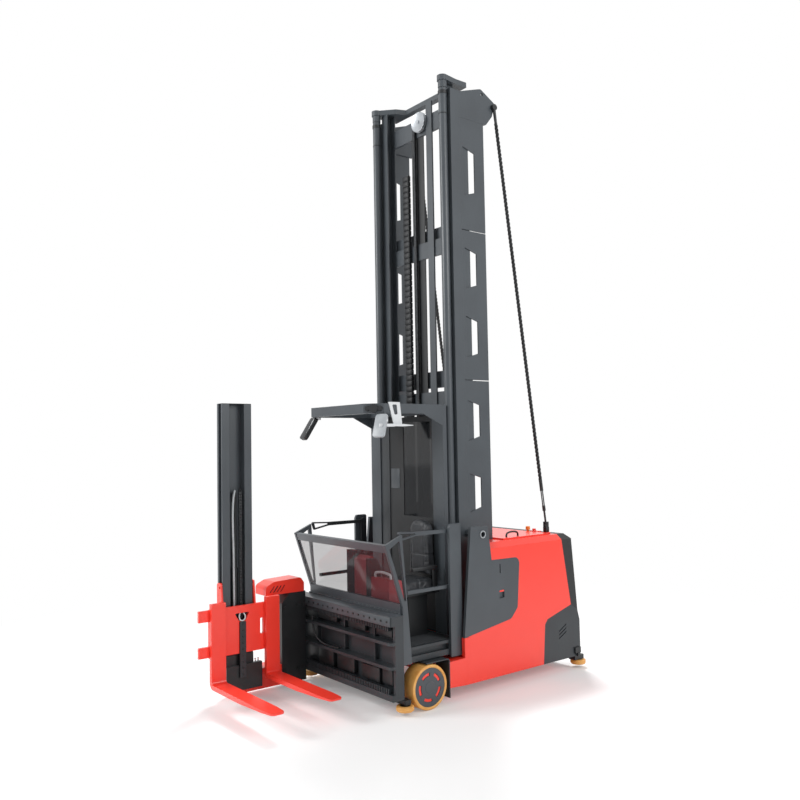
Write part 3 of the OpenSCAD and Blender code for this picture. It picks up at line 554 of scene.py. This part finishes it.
def make_mat():
    """The ribbed mat on the cab floor."""
    low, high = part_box("cab_floor")
    bm = bmesh.new()
    block(bm, Vector((low.x + 0.03, low.y + 0.05, high.z)), Vector((high.x - 0.03, high.y - 0.02, high.z + 0.004)), 0.001)
    piece("floor_mat", bm, floor_rubber, "cab")
    bm = bmesh.new()
    block(bm, Vector((low.x + 0.04, low.y + 0.06, high.z + 0.004)), Vector((low.x + 0.046, high.y - 0.03, high.z + 0.0065)), 0.001)
    ribs = piece("mat_ribs", bm, floor_rubber, "cab")
    array = ribs.modifiers.new("ribs", "ARRAY")
    array.count = 110
    array.use_relative_offset = False
    array.use_constant_offset = True
    array.constant_offset_displace = (0.012, 0, 0)


def padded_shape(bm, low, high, taper, lean, round_m, crown_m):
    """A pad's starting form: a block with round corners, narrower at its top."""
    verts = bmesh.ops.create_cube(bm, size=1)["verts"]
    bmesh.ops.scale(bm, vec=high - low, verts=verts)
    bmesh.ops.translate(bm, vec=(low + high) / 2, verts=verts)
    middle = (low.x + high.x) / 2
    for vert in verts:
        if vert.co.z > (low.z + high.z) / 2:
            vert.co.x = middle + (vert.co.x - middle) * taper
            vert.co.y += lean
    # The two upper corners first, seen from the front, and then every edge
    crown = [e for e in bm.edges if abs((e.verts[0].co - e.verts[1].co).normalized().y) > 0.9 and e.verts[0].co.z > high.z - 0.001]
    bmesh.ops.bevel(
        bm, geom=crown, offset=crown_m, segments=6, profile=0.5, affect="EDGES", material=-1, clamp_overlap=True
    )
    bmesh.ops.bevel(
        bm, geom=list(bm.edges), offset=round_m, segments=4, profile=0.5, affect="EDGES", material=-1, clamp_overlap=True
    )


VOXEL = 0.007
CAP = 0.014
SETTLE_FRAMES = 20


def stuff(pad, node):
    """Blows the cover up over its foam, and holds each point near its start."""
    remesh = pad.modifiers.new("weave", "REMESH")
    remesh.mode = "VOXEL"
    remesh.voxel_size = VOXEL
    graph = bpy.context.evaluated_depsgraph_get()
    pad.data = bpy.data.meshes.new_from_object(pad.evaluated_get(graph))
    pad.modifiers.clear()
    start = [v.co.copy() for v in pad.data.vertices]
    cloth = pad.modifiers.new("cover", "CLOTH")
    cloth.settings.use_pressure = True
    cloth.settings.uniform_pressure_force = 4
    cloth.settings.effector_weights.gravity = 0
    cloth.settings.quality = 4
    for step in range(1, SETTLE_FRAMES + 1):
        scene.frame_set(step)
    graph = bpy.context.evaluated_depsgraph_get()
    blown = bpy.data.meshes.new_from_object(pad.evaluated_get(graph))
    pad.modifiers.clear()
    for vert, home, full in zip(pad.data.vertices, start, blown.vertices):
        move = full.co - home
        if move.length > CAP:
            move = move.normalized() * CAP
        vert.co = home + move
    scene.frame_set(1)


def sew(pad, channels, depth=0.006, width=0.007):
    """Pulls the cover in along its seams. Each channel is an axis and a place along it."""
    normals = [v.normal.copy() for v in pad.data.vertices]
    for vert, normal in zip(pad.data.vertices, normals):
        pull = 0.0
        for axis, place in channels:
            away = (vert.co[axis] - place) / width
            pull = max(pull, math.exp(-away * away))
        vert.co -= normal * depth * pull


def make_seat():
    """Foam cushion and backrest under grained vinyl, with sewn side bolsters."""
    # Columns: node, name, width of the top, its lean, the edges' radius and the upper corners' radius
    jobs = (
        ("seat_cushion", "cushion", 0.96, 0.0, 0.03, 0.012),
        ("seat_back", "backrest", 0.86, -0.006, 0.022, 0.09),
    )
    for node, name, taper, lean, round_m, crown_m in jobs:
        low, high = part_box(node)
        inset = Vector((0.012, 0.012, 0.010))
        bm = bmesh.new()
        padded_shape(bm, low + inset, high - inset, taper, lean, round_m, crown_m)
        pad = piece("seat_" + name + "_pad", bm, seat_vinyl, "cab", [node])
        stuff(pad, node)
        third = (high.x - low.x) * 0.27
        middle = (low.x + high.x) / 2
        along = (low.y + high.y) / 2 if node == "seat_cushion" else low.z + 0.2
        sew(pad, ((0, middle - third), (0, middle + third), (1 if node == "seat_cushion" else 2, along)))
        for polygon in pad.data.polygons:
            polygon.use_smooth = True
        rounder = pad.modifiers.new("soft", "SUBSURF")
        rounder.levels = rounder.render_levels = 1


def make_cab_fittings():
    """Panels, levers and grab handles inside the cab."""
    bm = bmesh.new()
    block(bm, at(-395, 399.5, 1000), at(-262, 406.5, 2490), 0.002)
    piece("rear_panel_strip", bm, dark_coat, "cab")
    bm = bmesh.new()
    block(bm, at(-245, 404, 1815), at(-110, 406.5, 2005), 0.001)
    piece("blank_plate", bm, slate_coat, "cab")
    # Display, buttons and levers on the pods
    bm = bmesh.new()
    block(bm, at(0, -92, 1060), at(150, -70, 1165), 0.004)
    block(bm, at(262, -88, 1000), at(484, -60, 1040), 0.003)
    for x in (20, 60, 100, 140):
        rod(bm, at(x, -78, 960), at(x, -52, 962), 0.013, 20)
    rod(bm, at(310, -130, 1055), at(310, -136, 1120), 0.008, 16)
    rod(bm, at(310, -134, 1110), at(310, -139, 1150), 0.022, 24, 0.014)
    rod(bm, at(80, -150, 1225), at(80, -146, 1262), 0.010, 16)
    rod(bm, at(80, -147, 1255), at(80, -142, 1296), 0.024, 24, 0.018)
    piece("console_controls", bm, black_abs, "cab")
    hose(
        "grab_handle",
        [at(262, -178, 1060), at(264, -180, 1108), at(290, -181, 1118), at(450, -181, 1118), at(478, -180, 1108), at(480, -178, 1060)],
        0.011,
        white_coat,
        "cab",
    )
    # Armrest beside the seat, and its stalk
    bm = bmesh.new()
    block(bm, at(500, 20, 1120), at(545, 300, 1160), 0.012)
    block(bm, at(492, 280, 960), at(512, 330, 1150), 0.004)
    piece("armrest", bm, black_abs, "cab")


def make_guard_fittings():
    """The lamp, the roof plate under the slats, the mirrors' shells and the near mirror's arm."""
    low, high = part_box("overhead_guard")
    bm = bmesh.new()
    block(bm, Vector((-0.30, low.y + 0.10, high.z - 0.052)), Vector((0.30, high.y - 0.10, high.z - 0.044)), 0.002)
    piece("roof_plate", bm, black_abs, "cab")
    bm = bmesh.new()
    lamp_low, lamp_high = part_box("guard_lamp")
    centre = (lamp_low + lamp_high) / 2
    out = Vector((1, -1, 0)).normalized()
    for offset in (-0.055, 0.055):
        place = centre + Vector((1, 1, 0)).normalized() * offset
        rod(bm, place - out * 0.012, place + out * 0.012, 0.024, 24, 0.020)
    piece("lamp_wings", bm, black_abs, "cab")
    # Shells over both mirrors, and the white arm's end in front of the near one.
    # Columns: name, finish, width, height and depth in metres, middle, turn and lean in degrees
    for name, finish, size, middle, turn, lean in (
        ("near_mirror_shell", grey_moulding, (0.116, 0.214, 0.022), at(569.3, -330, 2402), 25, 22),
        ("far_mirror_shell", black_abs, (0.122, 0.236, 0.040), at(-558, -341, 2404), -8, 32),
    ):
        bm = bmesh.new()
        verts = bmesh.ops.create_cube(bm, size=1)["verts"]
        bmesh.ops.scale(bm, vec=size, verts=verts)
        corners = [e for e in bm.edges if abs((e.verts[0].co - e.verts[1].co).normalized().z) > 0.9]
        bmesh.ops.bevel(bm, geom=corners, offset=0.026, segments=6, profile=0.5, affect="EDGES", material=-1)
        rims = [e for e in bm.edges if e.calc_face_angle() > 1.2]
        bmesh.ops.bevel(bm, geom=rims, offset=0.004, segments=2, profile=0.5, affect="EDGES", material=-1)
        pose = Matrix.Rotation(math.radians(turn), 4, "Z") @ Matrix.Rotation(math.radians(90 - lean), 4, "X")
        bmesh.ops.transform(bm, matrix=Matrix.Translation(middle) @ pose, verts=bm.verts)
        piece(name, bm, finish, "cab")
    bm = bmesh.new()
    block(bm, at(578, -352, 2393), at(596, -190, 2419), 0.004)
    rod(bm, at(596, -336, 2406), at(601, -336, 2406), 0.007, 6)
    piece("near_mirror_arm", bm, white_coat, "cab")


def make_hood_fittings():
    """Lifting handle, release knob and key switch on the hood's lid."""
    hose(
        "hood_handle",
        [at(640, 1085, 1344), at(640, 1088, 1372), at(640, 1100, 1384), at(640, 1225, 1384), at(640, 1237, 1372), at(640, 1240, 1344)],
        0.009,
        black_enamel,
        "chassis",
    )
    bm = bmesh.new()
    rod(bm, at(400, 1640, 1333), at(400, 1640, 1362), 0.012, 16)
    rod(bm, at(400, 1640, 1360), at(400, 1640, 1392), 0.024, 28, 0.020)
    piece("release_knob", bm, orange_knob, "chassis")
    bm = bmesh.new()
    block(bm, at(430, 1625, 1333.5), at(540, 1690, 1352), 0.006)
    rod(bm, at(470, 1655, 1350), at(470, 1655, 1372), 0.018, 24)
    piece("switch_base", bm, red_coat, "chassis")
    # The red lip of each latch, and a steel pivot ring on each side
    for side, sign in SIDES:
        bm = bmesh.new()
        face = 775 * sign
        block(bm, at(min(face, face - 12 * sign), 843, 880), at(max(face, face - 12 * sign), 903, 895), 0.002)
        piece("latch_lip_" + side, bm, red_coat, "chassis")
        bm = bmesh.new()
        turned(bm, [(0.024, -0.004), (0.0355, -0.004), (0.0355, 0.001), (0.0335, 0.003), (0.026, 0.003), (0.024, 0.001)], at(779 * sign, 647, 1418), X * sign, 48)
        piece("pivot_ring_" + side, bm, turned_steel, "chassis")


# Turret head


def make_traverse_fittings():
    """Drive motors, hoses, and slate faces on the top rail as a painted highlight, inside the traverse frame."""
    bm = bmesh.new()
    # Columns: left, right, bottom and top of each housing behind the shelves
    for x0, x1, z0, z1 in (
        (-420, -180, 232, 380),
        (-120, 150, 240, 392),
        (260, 520, 236, 360),
        (560, 700, 250, 385),
        (-430, -120, 640, 742),
        (60, 320, 636, 742),
        (480, 700, 640, 720),
    ):
        block(bm, at(x0, -345, z0), at(x1, -302, z1), 0.006)
    piece("traverse_housings", bm, black_enamel, "cab")
    bm = bmesh.new()
    for x in range(-480, 721, 80):
        bolts(bm, [at(x, -411, 785)], -Y, 0.007, 0.004)
    piece("rail_screws", bm, black_enamel, "cab")
    # Slate faces on the dark top rail, lighter than the frame: a painted highlight along its front and top
    bm = bmesh.new()
    block(bm, at(-762, -411, 748), at(762, -409, 822), 0.0008)
    block(bm, at(-762, -408, 824), at(762, -275, 826), 0.0008)
    piece("top_rail_painted_highlight", bm, slate_coat, "cab")
    hose(
        "traverse_hose",
        [at(-480, -372, 650), at(-440, -392, 560), at(-400, -396, 500), at(-330, -390, 450), at(-240, -372, 424), at(-60, -360, 424)],
        0.009,
        black_abs,
        "cab",
    )


def make_head_fittings():
    """Bolts, hoses and the leaf chain of the turret head."""
    bm = bmesh.new()
    for y in (-640, -500, -440):
        bolts(bm, [at(-525, y, 180), at(-525, y, 760)], X, 0.011, 0.008)
    piece("carriage_bolts", bm, black_enamel, "traverse")
    # Chain in the channel of the auxiliary mast
    pitch = 0.0508
    bm = bmesh.new()
    for y in (-0.012, -0.004, 0.004, 0.012):
        block(bm, at(-566, -1074, 420) + Y * (y - 0.002), at(-552, -1074, 462) + Y * (y + 0.002), 0.0)
    for y in (-0.008, 0.0, 0.008):
        block(bm, at(-566, -1074, 446) + Y * (y - 0.002), at(-552, -1074, 488) + Y * (y + 0.002), 0.0)
    links = piece("fork_chain", bm, chain_steel, "turret")
    array = links.modifiers.new("links", "ARRAY")
    array.count = 28
    array.use_relative_offset = False
    array.use_constant_offset = True
    array.constant_offset_displace = (0, 0, pitch)
    hose(
        "fork_hose",
        [at(-592, -1110, 1850), at(-570, -1136, 1780), at(-562, -1140, 1200), at(-562, -1138, 800), at(-562, -1140, 440)],
        0.010,
        pale_hose,
        "turret",
    )
    bm = bmesh.new()
    block(bm, at(-648, -1250, 2630), at(-552, -964, 2634), 0.001)
    piece("mast_cap", bm, dark_coat, "turret")
    # Bolts down the bar on the fork carriage, and the webbing loop in its window
    bm = bmesh.new()
    bolts(bm, [at(-482, -1092, z) for z in range(240, 700, 55)], X, 0.006, 0.004)
    piece("bar_bolts", bm, black_enamel, "fork_head")
    hose(
        "webbing_loop",
        [at(-504, -1110, 772), at(-496, -1122, 742), at(-492, -1108, 712), at(-492, -1080, 712), at(-496, -1064, 742), at(-504, -1076, 772)],
        0.006,
        white_coat,
        "fork_head",
    )
    # Dark plates behind the slanted vents: painted shade in the vents' depth
    bm = bmesh.new()
    block(bm, at(-554.5, -796, 896), at(-552.5, -592, 964), 0.0005)
    block(bm, at(-727.5, -796, 896), at(-725.5, -592, 964), 0.0005)
    piece("vent_painted_shade", bm, black_abs, "traverse")
    # Chromed pins on the mast's foot
    bm = bmesh.new()
    for y in (-945, -918):
        rod(bm, at(-537, y, 318), at(-537, y, 344), 0.007, 20)
        rod(bm, at(-537, y, 344), at(-537, y, 350), 0.009, 20)
    piece("foot_pins", bm, hard_chrome, "turret")


# Floor and light


def make_stage():
    """A pale floor that keeps the shadow and runs out into white."""
    bm = bmesh.new()
    bmesh.ops.create_grid(bm, x_segments=1, y_segments=1, size=60)
    mesh = bpy.data.meshes.new("studio_floor")
    bm.to_mesh(mesh)
    bm.free()
    floor = bpy.data.objects.new("studio_floor", mesh)
    scene.collection.objects.link(floor)
    material = bpy.data.materials.new("pale_floor")
    material.use_nodes = True
    tree = material.node_tree
    tree.nodes.clear()
    place = add(tree, "ShaderNodeTexCoord").outputs["Object"]
    near = add(tree, "ShaderNodeMapping", {"Vector": place, "Scale": (1 / 7, 1 / 7, 1 / 7)})
    fade = add(tree, "ShaderNodeTexGradient", {"Vector": near.outputs["Vector"]}, gradient_type="SPHERICAL")
    edge = add(tree, "ShaderNodeMapRange", {"Value": fade.outputs["Fac"], "From Min": 0.15, "From Max": 0.62, "To Max": 0.8})
    matt = add(tree, "ShaderNodeBsdfDiffuse", {"Color": linear("#FAFAFA")})
    white = add(tree, "ShaderNodeEmission", {"Color": (1, 1, 1, 1), "Strength": 1.0})
    mixed = add(
        tree, "ShaderNodeMixShader", {0: edge.outputs["Result"], 1: white.outputs[0], 2: matt.outputs["BSDF"]}
    )
    path = add(tree, "ShaderNodeLightPath")
    seen = add(tree, "ShaderNodeMixShader", {0: path.outputs["Is Camera Ray"], 1: matt.outputs["BSDF"], 2: mixed.outputs[0]})
    add(tree, "ShaderNodeOutputMaterial", {"Surface": seen.outputs[0]})
    mesh.materials.append(material)


SKY_LEVEL = 0.5


def make_light():
    """Soft studio light, strongest from the forks' end, and white where the camera sees past the floor."""
    world = bpy.data.worlds.new("studio")
    world.use_nodes = True
    scene.world = world
    tree = world.node_tree
    tree.nodes.clear()
    path = add(tree, "ShaderNodeLightPath")
    direct = add(tree, "ShaderNodeMath", {0: path.outputs["Is Camera Ray"], 1: path.outputs["Is Glossy Ray"]}, operation="MAXIMUM")
    through = add(
        tree, "ShaderNodeMath", {0: direct.outputs[0], 1: path.outputs["Is Transmission Ray"]}, operation="MAXIMUM"
    )
    level = add(tree, "ShaderNodeMapRange", {"Value": through.outputs[0], "To Min": SKY_LEVEL, "To Max": 1.0})
    sky = add(tree, "ShaderNodeBackground", {"Color": (1, 1, 1, 1), "Strength": level.outputs["Result"]})
    add(tree, "ShaderNodeOutputWorld", {"Surface": sky.outputs[0]})
    # Columns: name, place, size and power of each lamp
    for name, place, size, power in (
        ("front_softbox", (-3.5, -9.0, 6.5), 4.0, 660),
        ("side_softbox", (9.0, 1.5, 6.0), 4.0, 380),
        ("top_softbox", (-3.5, 3.5, 10.0), 2.2, 760),
    ):
        lamp = bpy.data.lights.new(name, "AREA")
        lamp.shape = "SQUARE"
        lamp.size = size
        lamp.energy = power
        placed = bpy.data.objects.new(name, lamp)
        aim = Vector((0, 0, 1.8)) - Vector(place)
        placed.matrix_world = Matrix.Translation(Vector(place)) @ aim.to_track_quat("-Z", "Y").to_matrix().to_4x4()
        scene.collection.objects.link(placed)


scene.view_settings.view_transform = "Standard"
make_camera()
dress_frame()
make_wheels()
make_guide_rollers()
make_drive_wheel()
make_stays()
make_cylinder_caps()
make_chains()
make_mat()
make_seat()
make_cab_fittings()
make_guard_fittings()
make_hood_fittings()
make_traverse_fittings()
make_head_fittings()
make_stage()
make_light()
